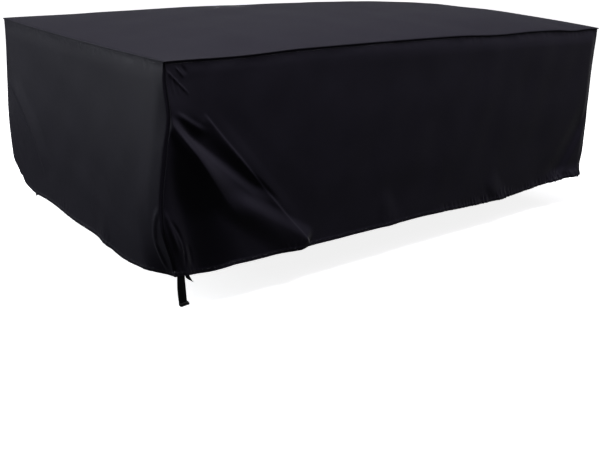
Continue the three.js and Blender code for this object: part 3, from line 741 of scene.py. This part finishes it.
def hanging_path(node_name, skirt, at, width, length, twist, drift, cant=0.0):
    """The middle line of webbing that hangs from the hem: for each share of its length, its middle, the
    direction across it and the one out of its face. It starts at its node's top with the hem's slope, which
    it loses by a smooth step. It drifts sideways by the share squared, turns about the upright by its twist
    times a smooth step, and ends at its cant."""
    left, right = (skirt_points(skirt, at + side * width / 2, DROP, BEHIND_HEM) for side in (-1, 1))
    level = (right - left) / np.linalg.norm(right - left)
    top = (left + right) / 2
    top[2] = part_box(node_name)[1].z / MM - abs(level[2]) * width / 2

    def path(share):
        """The middle and the two directions at each share of the length."""
        share = np.asarray(share, dtype=float)[..., None]
        turn = twist * ease(share, 0, 1)
        slope = level[2] * (1 - ease(share, 0, LEVEL_BY)) + cant * ease(share, 1 - CANT_BY, 1)
        x = level[0] * np.cos(turn) - level[1] * np.sin(turn)
        y = level[0] * np.sin(turn) + level[1] * np.cos(turn)
        across = np.concatenate([x, y, slope], axis=-1)
        across = across / np.linalg.norm(across, axis=-1, keepdims=True)
        out = np.stack([across[..., 1], -across[..., 0], 0 * across[..., 0]], axis=-1)
        out = out / np.linalg.norm(out, axis=-1, keepdims=True)
        middle = top + share ** 2 * np.array([*drift, 0.0]) - share * length * UPWARDS
        return middle, across, out

    return path


def webbing_piece(name, path, width, length, point=0.0, fold_back=0.0):
    """A length of webbing along its path: flat across, with fine ribs on its face, the product of a cosine
    down it and one across. Its last share may narrow to a point, or its end may turn back behind it round a
    half circle."""
    start = length - FOLD_ROUND if fold_back else length
    turned = math.pi * FOLD_ROUND

    def shape(across, down, inwards):
        """Down the path, then round the half circle and up again behind, with the face square to that."""
        angle = np.clip(down - start, 0, turned if fold_back else 0) / FOLD_ROUND
        back = np.clip(down - start - turned, 0, None)
        drop = np.minimum(down, start) + FOLD_ROUND * np.sin(angle) - back
        share = drop / length
        middle, sideways, out = path(share)
        face = np.cos(angle)[..., None] * out - np.sin(angle)[..., None] * UPWARDS
        narrowed = width * (blend(1, POINT_WIDTH, ease(share, 1 - point, 1)) if point else 1 + 0 * share)
        ribs = RIB * np.cos(2 * np.pi * down / RIB_PITCH) * np.cos(2 * np.pi * RIB_ROWS * across / width)
        off = WEBBING / 2 - RIB - inwards * (WEBBING - RIB) / WEBBING + np.where(inwards > 0, 0, ribs)
        return (
            middle + sideways * (narrowed * (across / width - 0.5))[..., None] + face * off[..., None]
            - out * (FOLD_ROUND * (1 - np.cos(angle)))[..., None]
        )

    total = start + turned + fold_back if fold_back else length
    across, down = places([(width, ACROSS_STEP)]), places([(total, DOWN_STEP)])
    piece = closed_sheet(name, shape, across, down, skin=WEBBING)
    piece.data.materials.append(WEBBING_WEAVE)
    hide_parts(name.replace("_webbing", ""))


BUCKLE_THICK = 7.0
BUCKLE_ROUND, ROUND_RINGS = 0.9, 4  # radius of its long edges, and the rings round each
BUCKLE_CORNER, CORNER_POINTS = 1.3, 5  # how far from a corner its rounding starts, and the points round it
BUCKLE_TILT = 0.8  # how far it swings back from its strap's end, in radians
# The right half of its outline, from the tongue's side round the prong to the bar, with the bar's top at 0.
BUCKLE_HALF = [(3, -25), (3, -11), (10, -11), (10, -24), (13.5, -28), (17, -21), (17, -2.5), (14.5, 0)]


def buckle_outline():
    """The outline of the male half: a bar, two prongs and a tongue. Its right half is mirrored, and each
    corner is rounded by a parabola between the edges that meet there."""
    right = np.array(BUCKLE_HALF, dtype=float)
    outline = np.concatenate([right, (right * (-1, 1))[::-1]])
    before, after = np.roll(outline, 1, 0) - outline, np.roll(outline, -1, 0) - outline
    first = outline + before / np.linalg.norm(before, axis=1, keepdims=True) * BUCKLE_CORNER
    last = outline + after / np.linalg.norm(after, axis=1, keepdims=True) * BUCKLE_CORNER
    t = np.linspace(0, 1, CORNER_POINTS)[None, :, None]
    curve = (1 - t) ** 2 * first[:, None] + 2 * t * (1 - t) * outline[:, None] + t ** 2 * last[:, None]
    return curve.reshape(-1, 2)


def buckle_piece(end):
    """The moulded half: rings of its outline, set in along a quarter circle towards both faces, then turned
    to hang from the end of its strap."""
    outline = buckle_outline()
    ahead = np.roll(outline, -1, 0) - np.roll(outline, 1, 0)
    inward = np.stack([-ahead[:, 1], ahead[:, 0]], axis=1) / np.linalg.norm(ahead, axis=1, keepdims=True)
    quarter = np.linspace(0, np.pi / 2, ROUND_RINGS)
    set_in = BUCKLE_ROUND * (1 - np.cos(quarter))
    lift = BUCKLE_THICK / 2 - BUCKLE_ROUND * (1 - np.sin(quarter))
    set_in, lift = np.concatenate([set_in[::-1], set_in]), np.concatenate([-lift[::-1], lift])
    flat = outline[None] + inward[None] * set_in[:, None, None]
    deep = np.broadcast_to(lift[:, None], flat.shape[:2])
    cosine, sine = math.cos(BUCKLE_TILT), math.sin(BUCKLE_TILT)
    x, y, z = flat[..., 0], -deep * cosine - flat[..., 1] * sine, -deep * sine + flat[..., 1] * cosine
    middle, bar, out = end
    rise = -np.cross(bar, out)
    hung = middle - rise * (SEAM_GAP + WEBBING / 2 * math.tan(BUCKLE_TILT))
    points = hung + x[..., None] * bar - y[..., None] * out + z[..., None] * rise
    index = np.arange(x.size).reshape(x.shape)
    a, b = index[:-1], index[1:]
    sides = np.stack([a, np.roll(a, -1, 1), np.roll(b, -1, 1), b], axis=-1).reshape(-1, 4)
    piece = new_piece("corner_buckle_moulding", points.reshape(-1, 3), [sides, index[:1, ::-1], index[-1:]])
    piece.data.materials.append(ACETAL)
    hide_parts("corner_buckle")


top_piece()
for name in SKIRTS:
    skirt_piece(name)

front, left = SKIRTS["front_panel"], SKIRTS["left_panel"]
strap_path = hanging_path("corner_strap", front, 22, **STRAP, twist=-0.6, drift=(4, -4), cant=0.38)
webbing_piece("corner_strap_webbing", strap_path, **STRAP, fold_back=FOLD_BACK)
buckle_piece(strap_path(1.0))
tail_path = hanging_path("corner_strap_tail", front, 50, **TAIL, twist=-0.35, drift=(20, -8))
webbing_piece("corner_strap_tail_webbing", tail_path, **TAIL, point=0.6)
tip_path = hanging_path("side_strap_tip", left, 222, **TIP, twist=0.1, drift=(-2, 2))
webbing_piece("side_strap_tip_webbing", tip_path, **TIP, point=0.5)


# ---- Camera, floor and light ----
IMAGE_WIDTH = 600  # pixels across what the camera sees
FOCAL_PIXELS = 789.0  # its focal length in those pixels
SENSOR = 36.0  # its sensor's width
CAMERA_FROM_CORNER = (-1230.0, -2110.0, 1270.0)  # from the floor under the near left corner
YAW, PITCH, ROLL = (math.radians(angle) for angle in (40.4, 20.15, 2.24))
FLOOR_LEVEL = SEAM_LEVEL - FLOOR_BELOW_SEAM
FLOOR_SIZE = 160.0  # from its middle to its edges, in metres
WORLD_LOW, WORLD_HIGH = 0.05, 0.335  # strength of the studio's light from the sides and below, and from above
WORLD_DIM, WORLD_BRIGHT = 0.3, 1.0  # the rise, from 0 level to 1 overhead, where it starts to grow and is full


def add_camera():
    """A camera that looks down at the near left corner: its axes come from its yaw, pitch and roll."""
    data = bpy.data.cameras.new("camera")
    data.sensor_width = SENSOR
    data.lens = FOCAL_PIXELS / IMAGE_WIDTH * SENSOR
    forward = Vector((math.sin(YAW) * math.cos(PITCH), math.cos(YAW) * math.cos(PITCH), -math.sin(PITCH)))
    level = Vector((math.cos(YAW), -math.sin(YAW), 0))
    raised = level.cross(forward)
    right = math.cos(ROLL) * level + math.sin(ROLL) * raised
    up = -math.sin(ROLL) * level + math.cos(ROLL) * raised
    turned = Matrix((right, up, -forward)).transposed()
    corner = Vector((-LENGTH / 2, -WIDTH / 2, FLOOR_LEVEL))
    camera = bpy.data.objects.new("camera", data)
    camera.matrix_world = Matrix.Translation((corner + Vector(CAMERA_FROM_CORNER)) * MM) @ turned.to_4x4()
    bpy.context.scene.collection.objects.link(camera)
    bpy.context.scene.camera = camera


def add_floor():
    """A wide pale floor. It is only seen: what it would throw back up at the cloth is left to the world's
    light."""
    mesh = bpy.data.meshes.new("floor")
    corners = [(-1, -1), (1, -1), (1, 1), (-1, 1)]
    points = [(x * FLOOR_SIZE, y * FLOOR_SIZE, FLOOR_LEVEL * MM) for x, y in corners]
    mesh.from_pydata(points, [], [(0, 1, 2, 3)])
    floor = bpy.data.objects.new("floor", mesh)
    bpy.context.scene.collection.objects.link(floor)
    floor.visible_diffuse = False
    floor.visible_glossy = False
    material, tree, shader = new_material("pale_paper_sweep")
    feed(tree, shader, Base_Color=colour("#f6f6f6"), Roughness=0.9, Specular_IOR_Level=0.0,
         Emission_Color=colour("#ffffff"), Emission_Strength=0.85)
    mesh.materials.append(material)


def add_light(name, place, target, size, power, shade="#ffffff"):
    """A square soft light that looks at its target. Places and sizes are in metres, power in watts."""
    data = bpy.data.lights.new(name, "AREA")
    data.size = size
    data.energy = power
    data.color = colour(shade)[:3]
    light = bpy.data.objects.new(name, data)
    light.location = place
    light.rotation_euler = (Vector(target) - Vector(place)).to_track_quat("-Z", "Y").to_euler()
    bpy.context.scene.collection.objects.link(light)


def add_world():
    """The studio's walls and ceiling: bright overhead, dimmer towards the ground and dim below it."""
    world = bpy.data.worlds.new("studio")
    world.use_nodes = True
    tree = world.node_tree
    tree.nodes.clear()
    place = node(tree, "ShaderNodeTexCoord")
    parts = node(tree, "ShaderNodeSeparateXYZ", Vector=place.outputs["Generated"])
    lift = node(tree, "ShaderNodeMapRange", {"interpolation_type": "SMOOTHSTEP"}, Value=parts.outputs["Z"],
                From_Min=WORLD_DIM, From_Max=WORLD_BRIGHT, To_Min=WORLD_LOW, To_Max=WORLD_HIGH)
    light = node(tree, "ShaderNodeBackground", Color=colour("#f8f8ff"), Strength=lift.outputs["Result"])
    node(tree, "ShaderNodeOutputWorld", Surface=light.outputs["Background"])
    bpy.context.scene.world = world


add_camera()
add_floor()
add_light("overhead", (-0.6, -1.9, 4.6), (-0.2, -0.5, 0), 2.2, 420, "#fcfaff")
add_light("right", (4.2, -2.6, 2.6), (1.2, -0.66, -0.3), 1.6, 16, "#f7f2ff")
add_light("left", (-4.8, 2.4, 1.25), (-1.2, 0, -0.45), 2.4, 170, "#f4f8ff")
add_light("back", (2.8, 4.8, -0.5), (0.6, 0.4, -0.5), 0.8, 50)
add_world()
bpy.context.scene.view_settings.view_transform = "Standard"
